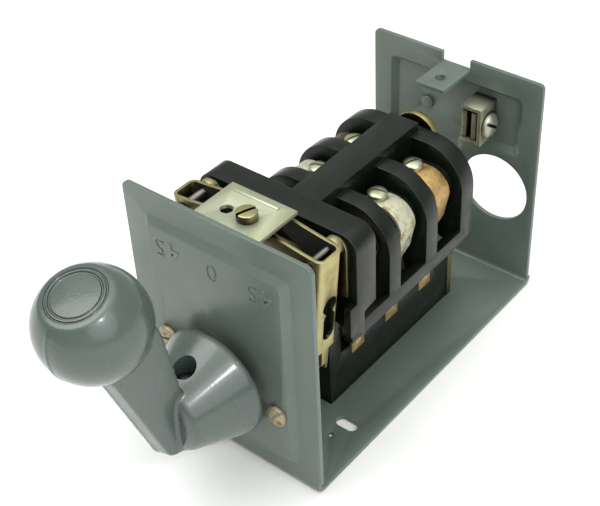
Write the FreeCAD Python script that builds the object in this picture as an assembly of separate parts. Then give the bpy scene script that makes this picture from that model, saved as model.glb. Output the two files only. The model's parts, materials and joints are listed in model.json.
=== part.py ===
import FreeCAD, Part
import math
import os

# Open-type three-position drum switch.  Millimetres.
# X is across the mounting frame, +Y runs from the handle end to the conduit end, +Z is up.
# Places are worked out with Y = 0 on the outer face of the front plate and Z = 0 under the base.
# The export moves everything by -slot_y, so the origin is midway between the two base slots.

V = FreeCAD.Vector
X_AXIS = V(1, 0, 0)
Y_AXIS = V(0, 1, 0)
Z_AXIS = V(0, 0, 1)

# mounting frame: one folded sheet
sheet = 1.6
bend_radius = 3.0
frame_length = 134.4
base_half_width = 37.1
front_half_width = 38.0
front_height = 97.9
skirt_top = 5.0
front_corner = 2.6
front_panel_half_width = 29.4
front_panel_bottom = 9.6
rear_half_width = 36.4
rear_height = 90.3
rear_corner = 2.0
panel_border = 8.6
panel_depth = 2.2
panel_slope = 2.3
panel_corner = 2.5
rear_panel_half_width = 28.8
rear_panel_bottom = 57.0
rear_panel_low = 50.5
rear_panel_step = 4.0
slot_x = 26.0
slot_y = 30.0
slot_length = 8.6
slot_width = 4.6
pilot_x = 24.4
pilot_y = 22.7
pilot_radius = 1.1
tab_half_width = 6.0
tab_top = 86.4
tab_front = 115.9
tab_hole_y = 122.9
tab_hole_radius = 2.1
conduit_x = 19.3
conduit_z = 39.5
conduit_radius = 14.1

# operating shaft and drum
axis_z = 36.5
shaft_radius = 4.0
shaft_front = -22.0
shaft_rear = 111.8
running_gap = 0.05
bush_radius = 6.0
bush_flange_radius = 8.0
bush_flange = 1.2
bush_rear = 4.0
drum_radius = 14.6
drum_front = 42.0
drum_rear = 95.0
segment_outer = 17.2
segment_half_width = 4.0
segment_gap = 40.0
wedge_steps = 4
clip_front = 110.2
clip_rear = 111.2
clip_radius = 6.5
clip_mouth = 2.2
clip_reach = 8.0
groove_radius = 3.4

# front screws, on a diagonal through the shaft
screw_offset_x = 23.0
screw_offset_z = 5.0
screw_radius = 2.0
screw_head_radius = 3.9
screw_head_height = 2.4
screw_tip = 5.0
front_slot = 1.0
front_slot_turn = 20.0
spacer_radius = 3.6

# detent mechanism
bracket_front = 1.8
bracket_sheet = 1.4
bracket_half_width = 29.6
bracket_bottom = 24.0
flange_top = 93.0
flange_half_width = 13.25
flange_rear = 24.4
bracket_notch_bottom = 72.0
rib_left = -10.5
rib_right = 8.0
rib_y = 21.6
rib_radius = 1.0
rib_sink = 0.4
post_x = 3.0
post_hole_x = -5.4
post_y = 12.5
post_hole_radius = 2.2
post_head_radius = 3.5
post_head_height = 3.2
post_shank = 1.8
post_length = 5.0
post_slot = 1.0
slot_turn = 35.0
slot_depth = 0.4
pivot_x = 25.6
pivot_z = 84.3
ear_radius = 4.0
pin_radius = 1.5
pin_head_radius = 2.4
pin_head = 0.8
collar_radius = 3.3
collar_gap = 0.2
pivot_plate_front = 27.0
pivot_plate_rear = 28.5
bridge_low = 64.0
bridge_high = 76.0
ear_drop = 1.8
stem_half_width = 17.0
stem_low = 26.0
stem_high = 70.0
plate_screw_radius = 1.5
plate_screw_x = 12.0
plate_screw_z = 60.0
plate_screw_grip = 8.0
plate_head_radius = 3.0
plate_head_height = 1.8
small_slot = 0.8
end_screw_grip = 3.0
lever_front = 13.4
lever_rear = 24.3
lever_sheet = 1.2
lever_top_x = 31.0
lever_top_z = 87.0
lever_low_x = 27.3
lever_low_z = 47.0
lever_profile = ((8, 90), (23, 87.8), (lever_top_x, lever_top_z), (lever_low_x, lever_low_z), (24, 44),
                 (22.5, 32), (15.5, 32), (15.5, 42), (19.5, 54), (18, 77), (8, 84))
lever_lip = ((25.1, 46), (27.3, 48), (26.75, 40.5), (25.55, 40.5), (25.1, 44.2))
lip_front = 16.4
lip_rear = 19.6
channel_low = 25.0
channel_rise = 5.0
star_front = 15.5
star_rear = 22.5
star_radius = 14.75
notch_count = 8
notch_radius = 4.3
notch_centre = 17.2
roller_x = 18.95
roller_radius = 4.0
roller_pin_end = 0.4
lever_corner = 2.8
keyhole_z = 66.5
keyhole_radius = 3.3
keyslot_low = 54.5
keyslot_high = 61.0
keyslot_half = 2.7
keyslot_neck = 1.9
keyhole_inner_x = 24.0
keyhole_outer_x = 34.0
spring_z = 66.0
spring_outer = 2.6
spring_inner = 1.8
spring_half_length = 24.0
hook_tip = 27.3
hook_radius = 0.5
spring_wall = 1.0

# contact block, black moulding
block_half_width = 28.0
barrier_top = 78.0
barrier_corner = 16.0
spine_half_width = 6.0
spine_top = 81.4
spine_rear = 100.5
spine_sink = 2.0
wall_half_width = 32.5
wall_top = 87.3
wall_corner = 6.0
wall_front = 28.5
wall_rear = 38.6
wall_low = 57.0
foot_front = 24.9
foot_low = 49.5
foot_high = 61.5
foot_inner = 29.7
leg_inner = 21.0
leg_profile = ((28.5, 49.5), (32.5, 46), (32.5, 56), (38.6, 57), (38.6, 60), (28.5, 60))
rail_bottom = 39.8
rail_top = 45.7
rail_inner = 24.5
rail_step = 3.0
rail_step_y = 98.0
rail_chamfer = 1.0
barriers = ((52.6, 59.0), (74.1, 80.9), (95.7, 103.2))
core_rear_face = barriers[-1][1]
rail_front = 31.5
core_front = 34.0
core_rear = 107.0
core_half_width = 23.2
core_top = 70.4
core_corner = 6.2
core_bottom = 50.0
cavity_radius = 19.4
cavity_front = 41.0
cavity_rear = 96.2
well_half_width = 17.5
well_rear = 104.0
neck_half_width = 14.0
neck_top = 66.0

# terminals and contact fingers
pole_y = (46.8, 66.8, 87.6)
terminal_poles = (66.8, 87.6)
finger_half_width = 3.6
finger_sheet = 0.8
finger_start_x = 8.6
finger_reach = 17.7
finger_tip_x = 17.9
finger_tip_z = 21.2
finger_knee_high = 38.5
finger_knee_low = 33.5
finger_hole_z = 26.4
finger_hole_radius = 0.9
core_taper = 2.9
saddle_half_width = 4.2
saddle_sheet = 1.4
saddle_low = 51.0
saddle_start_x = 9.4
saddle_clip_height = 3.0
saddle_clip_width = 4.0
terminal_x = 12.6
terminal_screw_radius = 1.75
terminal_head_radius = 3.6
terminal_head_height = 2.8
terminal_slot = 0.9
terminal_tip = 61.0

# lower moulding and rear end plate
cradle_half_width = 16.0
cradle_top = 22.0
trough_radius = 18.4
cradle_wall_front = 40.5
cradle_wall_rear = 96.6
end_plate_front = 107.0
end_plate_rear = 109.7
end_plate_top = 64.0
end_neck_low = 60.0
end_hole_radius = 5.0
end_lobe_radius = 8.8
boss_radius = 5.3
end_lobe_z = 70.3
end_plate_half_width = 16.2
end_foot_half_width = 7.2
end_foot_rear = 117.0
end_foot_sheet = 1.5
cradle_screw_places = ((0, 60), (0, 80))
base_rivet_places = ((-3.8, 113), (3.8, 113))
rivet_shank = 1.6
base_rivet_head = 2.6
base_rivet_height = 1.2
rivet_foot = 0.2
cradle_screw_top = 9.5
cradle_hole_top = 10.0
end_head_radius = 3.2
end_head_height = 2.0

# ground lug and rear rivet
lug_left = 8.0
lug_right = 16.8
lug_front = 124.4
lug_low = 61.7
lug_top = 77.2
lug_sheet = 1.5
lug_screw_y = 129.8
lug_screw_z = 68.8
lug_screw_radius = 2.4
lug_head_radius = 4.9
lug_head_height = 3.2
lug_slot = 1.1
jaw_places = ((8.3, 10.3), (12.4, 14.4))
jaw_front = 125.2
jaw_clear = 2.6
tooth_count = 4
tooth_pitch = 1.8
tooth_width = 0.9
tooth_depth = 0.5
rivet_x = -13.2
rivet_z = 65.2
rivet_radius = 2.5
rivet_head = 1.0
rivet_tail = 0.7

# handle casting
hub_rear = -5.6
hub_rear_radius = 20.8
hub_front = -29.0
hub_front_radius = 11.9
arm_half_width = 5.3
arm_profile = ((-35.4, 28.8), (-34.6, 27.6), (-28.0, 25.2), (-11, 24.0), (-11, 36), (-25.0, 49),
               (-27.5, 62), (-31.5, 84), (-50.0, 94.0), (-53.5, 76.5))
ball_radius = 17.7
ball_y = -50.0
ball_z = 94.0
cap_distance = 14.0
cap_tilt = 16.0
set_screw_y = -18.6
set_screw_hole = 3.9
set_screw_hole_top = 60.0
set_screw_top = 46.0
socket_radius = 1.6
socket_depth = 2.5

eps = 0.01


def box(x0, x1, y0, y1, z0, z1):
    return Part.makeBox(x1 - x0, y1 - y0, z1 - z0, V(x0, y0, z0))


def rod_x(radius, x0, x1, y, z):
    return Part.makeCylinder(radius, x1 - x0, V(x0, y, z), X_AXIS)


def rod_y(radius, y0, y1, x, z):
    return Part.makeCylinder(radius, y1 - y0, V(x, y0, z), Y_AXIS)


def rod_z(radius, z0, z1, x, y):
    return Part.makeCylinder(radius, z1 - z0, V(x, y, z0), Z_AXIS)


def prism_y(outline, y0, y1):
    points = [V(x, y0, z) for x, z in outline]
    wire = Part.makePolygon(points + points[:1])
    return Part.Face(wire).extrude(V(0, y1 - y0, 0))


def prism_x(outline, x0, x1):
    points = [V(x0, y, z) for y, z in outline]
    wire = Part.makePolygon(points + points[:1])
    return Part.Face(wire).extrude(V(x1 - x0, 0, 0))


def mirrored(shape):
    return shape.mirror(V(0, 0, 0), X_AXIS)


def both_sides(shape):
    return [shape, mirrored(shape)]


def fuse(shapes):
    joined = shapes[0]
    if len(shapes) > 1:
        joined = joined.fuse(shapes[1:])
    return joined.removeSplitter()


def rounded_wire(x0, x1, z0, z1, radius, y):
    """Rounded rectangle in an XZ plane."""
    half = radius * (1 - math.sqrt(0.5))
    edges = [
        Part.LineSegment(V(x0 + radius, y, z0), V(x1 - radius, y, z0)),
        Part.Arc(V(x1 - radius, y, z0), V(x1 - half, y, z0 + half), V(x1, y, z0 + radius)),
        Part.LineSegment(V(x1, y, z0 + radius), V(x1, y, z1 - radius)),
        Part.Arc(V(x1, y, z1 - radius), V(x1 - half, y, z1 - half), V(x1 - radius, y, z1)),
        Part.LineSegment(V(x1 - radius, y, z1), V(x0 + radius, y, z1)),
        Part.Arc(V(x0 + radius, y, z1), V(x0 + half, y, z1 - half), V(x0, y, z1 - radius)),
        Part.LineSegment(V(x0, y, z1 - radius), V(x0, y, z0 + radius)),
        Part.Arc(V(x0, y, z0 + radius), V(x0 + half, y, z0 + half), V(x0 + radius, y, z0)),
    ]
    return Part.Wire([edge.toShape() for edge in edges])


def arch_plate(half_width, bottom, top, radius, y0, y1):
    """Flat plate with two rounded upper corners."""
    plate = box(-half_width, half_width, y0, y1, bottom, top - radius)
    middle = box(radius - half_width, half_width - radius, y0, y1, bottom, top)
    corner = rod_y(radius, y0, y1, half_width - radius, top - radius)
    return fuse([plate, middle, corner, mirrored(corner)])


def obround(length, width, x, y, z0, z1):
    run = (length - width) / 2
    ends = [rod_z(width / 2, z0, z1, x + side * run, y) for side in (-1, 1)]
    middle = box(x - run, x + run, y - width / 2, y + width / 2, z0, z1)
    return fuse([middle] + ends)


def slotted_head(radius, height, slot, axis, start):
    """Cheese head of a slotted screw, on its axis from start outwards."""
    head = Part.makeCylinder(radius, height, start, axis)
    depth = height * slot_depth
    if axis.z:
        cut = Part.makeBox(4 * radius, slot, depth, start + V(-2 * radius, -slot / 2, height - depth))
        cut.rotate(start, Z_AXIS, slot_turn)
    elif axis.y:
        cut = Part.makeBox(4 * radius, depth, slot, start + V(-2 * radius, -height, -slot / 2))
        cut.rotate(start, Y_AXIS, front_slot_turn)
    else:
        cut = Part.makeBox(depth, 4 * radius, slot, start + V(height - depth, -2 * radius, -slot / 2))
    return head.cut(cut)


def raised_panel(left, right, bottom, top, face, out):
    """Outward embossed panel: what is added to the plate and what is hollowed behind it."""
    shells = []
    for offset in (0.0, -sheet * out):
        outer = rounded_wire(left, right, bottom, top, panel_corner, face + offset)
        inner = rounded_wire(left + panel_slope, right - panel_slope, bottom + panel_slope,
                             top - panel_slope, panel_corner, face + offset + panel_depth * out)
        shells.append(Part.makeLoft([outer, inner], True, True))
    return shells


def sheet_bend(y, outward):
    """Quarter bend between the base and one end plate."""
    ring = rod_x(bend_radius, -base_half_width, base_half_width, y, bend_radius)
    ring = ring.cut(rod_x(bend_radius - sheet, -base_half_width, base_half_width, y, bend_radius))
    edges = sorted((y, y + outward * bend_radius))
    return ring.common(box(-base_half_width, base_half_width, edges[0], edges[1], 0, bend_radius))


def front_plate():
    plate = arch_plate(front_half_width, skirt_top, front_height, front_corner, 0, sheet)
    skirt = box(-base_half_width, base_half_width, 0, sheet, bend_radius, skirt_top)
    added, hollow = raised_panel(-front_panel_half_width, front_panel_half_width, front_panel_bottom,
                                 front_height - panel_border, 0.0, -1)
    plate = fuse([plate, skirt, added]).cut(hollow)
    plate = plate.cut(rod_y(bush_radius, -panel_depth - eps, sheet, 0, axis_z))
    for side in (1, -1):
        plate = plate.cut(rod_y(screw_radius, -panel_depth - eps, sheet, side * screw_offset_x,
                                axis_z - side * screw_offset_z))
    return plate


def rear_plate():
    face = frame_length - sheet
    plate = arch_plate(rear_half_width, bend_radius, rear_height, rear_corner, face, frame_length)
    top = rear_height - panel_border
    added, hollow = raised_panel(-rear_panel_half_width, rear_panel_half_width, rear_panel_bottom, top,
                                 frame_length, 1)
    low_added, low_hollow = raised_panel(-rear_panel_half_width, rear_panel_step, rear_panel_low, top,
                                         frame_length, 1)
    plate = fuse([plate, added, low_added]).cut(fuse([hollow, low_hollow]))
    notch = box(-tab_half_width, tab_half_width, face, frame_length, tab_top, rear_height)
    tab = box(-tab_half_width, tab_half_width, tab_front, frame_length, tab_top - sheet, tab_top)
    plate = fuse([plate.cut(notch), tab])
    plate = plate.cut(rod_z(tab_hole_radius, tab_top - sheet, tab_top, 0, tab_hole_y))
    far = frame_length + panel_depth
    plate = plate.cut(rod_y(conduit_radius, face, far, conduit_x, conduit_z))
    return plate.cut(rod_y(rivet_radius / 2, face, far, rivet_x, rivet_z))


def mounting_frame():
    base = box(-base_half_width, base_half_width, bend_radius, frame_length - bend_radius, 0, sheet)
    for side in (-1, 1):
        base = base.cut(obround(slot_length, slot_width, side * slot_x, slot_y, 0, sheet))
    base = base.cut(rod_z(pilot_radius, 0, sheet, pilot_x, pilot_y))
    for x, y in cradle_screw_places + base_rivet_places:
        base = base.cut(rod_z(rivet_shank, 0, sheet, x, y))
    bends = [sheet_bend(bend_radius, -1), sheet_bend(frame_length - bend_radius, 1)]
    return fuse([base, front_plate(), rear_plate()] + bends)


def front_screws():
    screws = []
    for side in (1, -1):
        x = side * screw_offset_x
        z = axis_z - side * screw_offset_z
        seat = V(x, -panel_depth, z)
        head = slotted_head(screw_head_radius, screw_head_height, front_slot, -Y_AXIS, seat)
        screws.append(fuse([head, rod_y(screw_radius, -panel_depth, screw_tip, x, z)]))
    return screws


def front_spacers():
    inner = sheet - panel_depth
    spacers = []
    for side in (1, -1):
        x = side * screw_offset_x
        z = axis_z - side * screw_offset_z
        spacer = rod_y(spacer_radius, inner, bracket_front, x, z)
        spacers.append(spacer.cut(rod_y(screw_radius, inner, bracket_front, x, z)))
    return spacers


def front_bush():
    flange = rod_y(bush_flange_radius, -panel_depth - bush_flange, -panel_depth, 0, axis_z)
    barrel = rod_y(bush_radius, -panel_depth, bush_rear, 0, axis_z)
    bore = rod_y(shaft_radius + running_gap, -panel_depth - bush_flange, bush_rear, 0, axis_z)
    return fuse([flange, barrel]).cut(bore)


def mechanism_bracket():
    rear = bracket_front + bracket_sheet
    ears_top = pivot_z + ear_radius
    wall = arch_plate(bracket_half_width, bracket_bottom, ears_top, ear_radius, bracket_front, rear)
    notch = box(flange_half_width, pivot_x - ear_radius, bracket_front, rear, bracket_notch_bottom, ears_top)
    wall = wall.cut(notch).cut(mirrored(notch))
    neck = box(-flange_half_width, flange_half_width, bracket_front, rear, ears_top, flange_top)
    flange = box(-flange_half_width, flange_half_width, bracket_front, flange_rear,
                 flange_top - bracket_sheet, flange_top)
    rib = rod_x(rib_radius, rib_left, rib_right, rib_y, flange_top - rib_sink)
    bracket = fuse([wall, neck, flange, rib])
    bracket = bracket.cut(rod_y(bush_radius, bracket_front, rear, 0, axis_z))
    for side in (1, -1):
        bracket = bracket.cut(rod_y(screw_radius, bracket_front, rear, side * screw_offset_x,
                                    axis_z - side * screw_offset_z))
        bracket = bracket.cut(rod_y(pin_radius, bracket_front, rear, side * pivot_x, pivot_z))
    below = flange_top - bracket_sheet
    bracket = bracket.cut(rod_z(post_hole_radius, below, flange_top, post_hole_x, post_y))
    return bracket.cut(rod_z(post_shank, below, flange_top, post_x, post_y))


def cover_post_screw():
    seat = V(post_x, post_y, flange_top)
    head = slotted_head(post_head_radius, post_head_height, post_slot, Z_AXIS, seat)
    return fuse([head, rod_z(post_shank, flange_top - post_length, flange_top, post_x, post_y)])


def pivot_plate():
    y0, y1 = pivot_plate_front, pivot_plate_rear
    outer = pivot_x + ear_radius
    inner = pivot_x - ear_radius
    bridge = box(-outer, outer, y0, y1, bridge_low, bridge_high)
    ear = fuse([box(inner, outer, y0, y1, bridge_low, pivot_z - ear_drop),
                rod_y(ear_radius, y0, y1, pivot_x, pivot_z - ear_drop)])
    stem = box(-stem_half_width, stem_half_width, y0, y1, stem_low, stem_high)
    plate = fuse([bridge, stem, ear, mirrored(ear)])
    plate = plate.cut(rod_y(bush_radius, y0, y1, 0, axis_z))
    for side in (1, -1):
        plate = plate.cut(rod_y(pin_radius, y0, y1, side * pivot_x, pivot_z))
        plate = plate.cut(rod_y(plate_screw_radius, y0, y1, side * plate_screw_x, plate_screw_z))
    return plate


def pivot_plate_screws():
    screws = []
    for side in (1, -1):
        x = side * plate_screw_x
        head = slotted_head(plate_head_radius, plate_head_height, small_slot, -Y_AXIS,
                            V(x, pivot_plate_front, plate_screw_z))
        tip = wall_front + plate_screw_grip
        shank = rod_y(plate_screw_radius, pivot_plate_front, tip, x, plate_screw_z)
        screws.append(fuse([head, shank]))
    return screws


def lever_pins():
    pins = []
    for side in (1, -1):
        x = side * pivot_x
        head = rod_y(pin_head_radius, bracket_front - pin_head, bracket_front, x, pivot_z)
        collar = rod_y(collar_radius, lever_rear + collar_gap, pivot_plate_front, x, pivot_z)
        pins.append(fuse([head, collar, rod_y(pin_radius, bracket_front, pivot_plate_rear, x, pivot_z)]))
    return pins


def detent_lever():
    """Right-hand bell-crank lever: a channel with its web on the outside."""
    outer = prism_y(lever_profile, lever_front, lever_rear)
    lean = (lever_top_x - lever_low_x) / (lever_top_z - lever_low_z)
    low_x = lever_low_x - lever_sheet - lean * (lever_low_z - channel_low)
    high_z = lever_top_z + channel_rise
    high_x = lever_top_x - lever_sheet + lean * channel_rise
    hollow = prism_y([(0, channel_low), (low_x, channel_low), (high_x, high_z), (0, high_z)],
                     lever_front + lever_sheet, lever_rear - lever_sheet)
    edges = [edge for edge in outer.Edges if is_web_corner(edge, 0.0)]
    inner = [edge for edge in hollow.Edges if is_web_corner(edge, lever_sheet)]
    lever = outer.makeFillet(lever_corner, edges)
    lever = lever.cut(hollow.makeFillet(lever_corner - lever_sheet, inner))
    lever = fuse([lever, prism_y(lever_lip, lip_front, lip_rear)])
    lever = lever.cut(rod_y(pin_radius + running_gap, lever_front, lever_rear, pivot_x, pivot_z))
    lever = lever.cut(rod_y(pin_radius, lever_front, lever_rear, roller_x, axis_z))
    middle = (lever_front + lever_rear) / 2
    x0, x1 = keyhole_inner_x, keyhole_outer_x
    lever = lever.cut(rod_x(keyhole_radius, x0, x1, middle, keyhole_z))
    slot = [box(x0, x1, middle - keyslot_half, middle + keyslot_half, keyslot_low, keyslot_high),
            rod_x(keyslot_half, x0, x1, middle, keyslot_low),
            rod_x(keyslot_half, x0, x1, middle, keyslot_high),
            box(x0, x1, middle - keyslot_neck, middle + keyslot_neck, keyslot_high, keyhole_z)]
    return lever.cut(fuse(slot))


def is_web_corner(edge, depth):
    """True for the long edges between a lever's web and its flanges, at a depth under the outer face."""
    a, b = (vertex.Point for vertex in edge.Vertexes)
    lean = (lever_top_x - lever_low_x) / (lever_top_z - lever_low_z)
    gaps = [abs(p.x + depth - lever_low_x - lean * (p.z - lever_low_z)) for p in (a, b)]
    return abs(a.y - b.y) < eps and max(gaps) < eps


def roller_pin():
    return rod_y(pin_radius, lever_front - roller_pin_end, lever_rear + roller_pin_end, roller_x, axis_z)


def detent_roller():
    roller = rod_y(roller_radius, star_front, star_rear, roller_x, axis_z)
    return roller.cut(rod_y(pin_radius + running_gap, star_front, star_rear, roller_x, axis_z))


def star_wheel():
    wheel = rod_y(star_radius, star_front, star_rear, 0, axis_z)
    wheel = wheel.cut(rod_y(shaft_radius, star_front, star_rear, 0, axis_z))
    for index in range(notch_count):
        angle = 2 * math.pi * index / notch_count
        x = notch_centre * math.cos(angle)
        z = axis_z + notch_centre * math.sin(angle)
        wheel = wheel.cut(rod_y(notch_radius, star_front, star_rear, x, z))
    return wheel


def detent_spring():
    middle = (lever_front + lever_rear) / 2
    coil = rod_x(spring_outer, -spring_half_length, spring_half_length, middle, spring_z)
    hooks = rod_x(hook_radius, -hook_tip, hook_tip, middle, spring_z + spring_outer - hook_radius)
    inside = spring_half_length - spring_wall
    bore = rod_x(spring_inner, -inside, inside, middle, spring_z)
    return fuse([coil.cut(bore), hooks.cut(bore)])


def barrier(y0, y1):
    return arch_plate(block_half_width, rail_bottom, barrier_top, barrier_corner, y0, y1)


def core_section():
    half = core_corner * (1 - math.sqrt(0.5))
    x = core_half_width
    z = core_top
    low = x - core_taper - 0.1
    r = core_corner
    y = core_front
    edges = [
        Part.LineSegment(V(-low, y, core_bottom), V(low, y, core_bottom)),
        Part.LineSegment(V(low, y, core_bottom), V(x, y, z - r)),
        Part.Arc(V(x, y, z - r), V(x - half, y, z - half), V(x - r, y, z)),
        Part.LineSegment(V(x - r, y, z), V(r - x, y, z)),
        Part.Arc(V(r - x, y, z), V(half - x, y, z - half), V(-x, y, z - r)),
        Part.LineSegment(V(-x, y, z - r), V(-low, y, core_bottom)),
    ]
    return Part.Face(Part.Wire([edge.toShape() for edge in edges]))


def front_wall():
    wall = arch_plate(wall_half_width, wall_low, wall_top, wall_corner, wall_front, wall_rear)
    leg = prism_x(leg_profile, leg_inner, wall_half_width)
    foot = box(foot_inner, wall_half_width, foot_front, wall_front, foot_low, foot_high)
    return fuse([wall, leg, mirrored(leg), foot, mirrored(foot)])


def contact_block():
    core = core_section().extrude(V(0, core_rear_face - core_front, 0))
    neck = box(-neck_half_width, neck_half_width, core_rear_face, core_rear, core_bottom, neck_top)
    boss = rod_y(boss_radius, core_rear_face, core_rear, 0, end_lobe_z)
    spine_low = core_top - spine_sink
    spine = box(-spine_half_width, spine_half_width, wall_front, spine_rear, spine_low, spine_top)
    step_top = rail_top + rail_step
    rail = prism_x([(rail_front, rail_bottom), (core_rear_face - rail_chamfer, rail_bottom),
                    (core_rear_face, rail_bottom + rail_chamfer), (core_rear_face, step_top),
                    (rail_step_y, step_top), (barriers[-1][0], rail_top), (rail_front, rail_top)],
                   rail_inner, block_half_width)
    parts = [core, neck, boss, spine, front_wall(), rail, mirrored(rail)]
    for y0, y1 in barriers:
        parts.append(barrier(y0, y1))
    block = fuse(parts)
    block = block.cut(rod_y(cavity_radius, cavity_front, cavity_rear, 0, axis_z))
    well = box(-well_half_width, well_half_width, cavity_front, well_rear, rail_bottom, core_bottom)
    block = block.cut(well)
    for side in (1, -1):
        for y in terminal_poles:
            block = block.cut(rod_z(terminal_screw_radius, terminal_tip, core_top, side * terminal_x, y))
        block = block.cut(rod_y(plate_screw_radius, wall_front, wall_front + plate_screw_grip,
                                side * plate_screw_x, plate_screw_z))
    block = block.cut(rod_y(plate_screw_radius, end_plate_front - end_screw_grip, core_rear, 0, end_lobe_z))
    return cut_finger_slots(block)


def finger_path(y, thickness):
    """Right-hand run of a contact finger: terminal seat, round the corner, down to the drum."""
    top = core_top + thickness
    x = core_half_width + thickness
    r = core_corner + thickness
    half = r * (1 - math.sqrt(0.5))
    reach = finger_reach + thickness
    edges = [
        Part.LineSegment(V(finger_start_x, y, top), V(x - r, y, top)),
        Part.Arc(V(x - r, y, top), V(x - half, y, top - half), V(x, y, top - r)),
        Part.LineSegment(V(x, y, top - r), V(x - core_taper, y, core_bottom)),
        Part.LineSegment(V(x - core_taper, y, core_bottom), V(reach, y, finger_knee_high)),
        Part.LineSegment(V(reach, y, finger_knee_high), V(reach, y, finger_knee_low)),
        Part.LineSegment(V(reach, y, finger_knee_low), V(finger_tip_x + thickness, y, finger_tip_z)),
    ]
    return [edge.toShape() for edge in edges]


def contact_finger(y):
    y0 = y - finger_half_width
    inner = finger_path(y0, 0.0)
    outer = finger_path(y0, finger_sheet)
    ends = [Part.LineSegment(inner[0].Vertexes[0].Point, outer[0].Vertexes[0].Point).toShape(),
            Part.LineSegment(inner[-1].Vertexes[-1].Point, outer[-1].Vertexes[-1].Point).toShape()]
    wire = Part.Wire(Part.__sortEdges__(inner + outer + ends))
    finger = Part.Face(wire).extrude(V(0, 2 * finger_half_width, 0))
    hole_start = finger_reach - finger_sheet
    hole_end = finger_reach + 2 * finger_sheet
    finger = finger.cut(rod_x(finger_hole_radius, hole_start, hole_end, y, finger_hole_z))
    if y in terminal_poles:
        finger = finger.cut(rod_z(terminal_screw_radius, core_top, core_top + finger_sheet, terminal_x, y))
    return finger


def cut_finger_slots(block):
    """The first pole's fingers run through closed slots in the moulding."""
    for side in (1, -1):
        y = pole_y[0]
        slot = contact_finger(y)
        if side < 0:
            slot = mirrored(slot)
        block = block.cut(slot)
    return block


def terminal_saddle(y):
    inset = finger_sheet
    outlines = []
    for extra in (inset, inset + saddle_sheet):
        x = core_half_width + extra
        r = core_corner + extra
        top = core_top + extra
        half = r * (1 - math.sqrt(0.5))
        y0 = y - saddle_half_width
        foot = x - core_taper * (top - r - saddle_low) / (top - r - core_bottom)
        outlines.append([
            Part.LineSegment(V(saddle_start_x, y0, top), V(x - r, y0, top)).toShape(),
            Part.Arc(V(x - r, y0, top), V(x - half, y0, top - half), V(x, y0, top - r)).toShape(),
            Part.LineSegment(V(x, y0, top - r), V(foot, y0, saddle_low)).toShape(),
        ])
    inner, outer = outlines
    ends = [Part.LineSegment(inner[0].Vertexes[0].Point, outer[0].Vertexes[0].Point).toShape(),
            Part.LineSegment(inner[-1].Vertexes[-1].Point, outer[-1].Vertexes[-1].Point).toShape()]
    wire = Part.Wire(Part.__sortEdges__(inner + outer + ends))
    saddle = Part.Face(wire).extrude(V(0, 2 * saddle_half_width, 0))
    for side in (-1, 1):
        edge = y + side * saddle_half_width
        clip = [(edge, saddle_low - eps), (edge, saddle_low + saddle_clip_height),
                (edge - side * saddle_clip_width, saddle_low - eps)]
        wedge = prism_x(clip, saddle_start_x, block_half_width)
        saddle = saddle.cut(wedge)
    top = core_top + inset + saddle_sheet
    return saddle.cut(rod_z(terminal_screw_radius, core_top, top, terminal_x, y))


def terminal_screw(y):
    seat = core_top + finger_sheet + saddle_sheet
    start = V(terminal_x, y, seat)
    head = slotted_head(terminal_head_radius, terminal_head_height, terminal_slot, Z_AXIS, start)
    return fuse([head, rod_z(terminal_screw_radius, terminal_tip, seat, terminal_x, y)])


def drum_cradle():
    floor = box(-cradle_half_width, cradle_half_width, core_front, core_rear, sheet, cradle_top)
    floor = floor.cut(rod_y(trough_radius, cradle_wall_front, cradle_wall_rear, 0, axis_z))
    front = box(-cradle_half_width, cradle_half_width, core_front, cradle_wall_front, sheet, core_bottom)
    rear = box(-cradle_half_width, cradle_half_width, cradle_wall_rear, core_rear, sheet, core_bottom)
    cradle = fuse([floor, front, rear])
    cradle = cradle.cut(rod_y(shaft_radius + running_gap, core_front, core_rear, 0, axis_z))
    for x, y in cradle_screw_places:
        cradle = cradle.cut(rod_z(rivet_shank, sheet, cradle_hole_top, x, y))
    return cradle


def end_plate():
    plate = box(-end_plate_half_width, end_plate_half_width, end_plate_front, end_plate_rear, sheet,
                end_plate_top)
    neck = box(-end_lobe_radius, end_lobe_radius, end_plate_front, end_plate_rear, end_neck_low, end_lobe_z)
    lobe = rod_y(end_lobe_radius, end_plate_front, end_plate_rear, 0, end_lobe_z)
    foot = box(-end_foot_half_width, end_foot_half_width, end_plate_rear, end_foot_rear,
               sheet, sheet + end_foot_sheet)
    plate = fuse([plate, neck, lobe, foot])
    plate = plate.cut(rod_y(end_hole_radius, end_plate_front, end_plate_rear, 0, axis_z))
    plate = plate.cut(rod_y(plate_screw_radius, end_plate_front, end_plate_rear, 0, end_lobe_z))
    for x, y in base_rivet_places:
        plate = plate.cut(rod_z(rivet_shank, sheet, sheet + end_foot_sheet, x, y))
    return plate


def end_plate_screw():
    top = end_plate_rear + end_head_height
    head = rod_y(end_head_radius, end_plate_rear, top, 0, end_lobe_z)
    slot = box(-end_head_radius, end_head_radius, top - small_slot, top,
               end_lobe_z - small_slot / 2, end_lobe_z + small_slot / 2)
    shank = rod_y(plate_screw_radius, end_plate_front - end_screw_grip, end_plate_rear, 0, end_lobe_z)
    return fuse([head.cut(slot), shank])


def base_rivets():
    rivets = []
    top = sheet + end_foot_sheet
    for x, y in base_rivet_places:
        head = rod_z(base_rivet_head, top, top + base_rivet_height, x, y)
        rivets.append(fuse([head, rod_z(rivet_shank, rivet_foot, top, x, y)]))
    return rivets


def cradle_screws():
    return [rod_z(rivet_shank, rivet_foot, cradle_screw_top, x, y) for x, y in cradle_screw_places]


def operating_shaft():
    shaft = rod_y(shaft_radius, shaft_front, shaft_rear, 0, axis_z)
    ring = rod_y(shaft_radius + 1, clip_front, clip_rear, 0, axis_z)
    return shaft.cut(ring.cut(rod_y(groove_radius, clip_front, clip_rear, 0, axis_z)))


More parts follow.
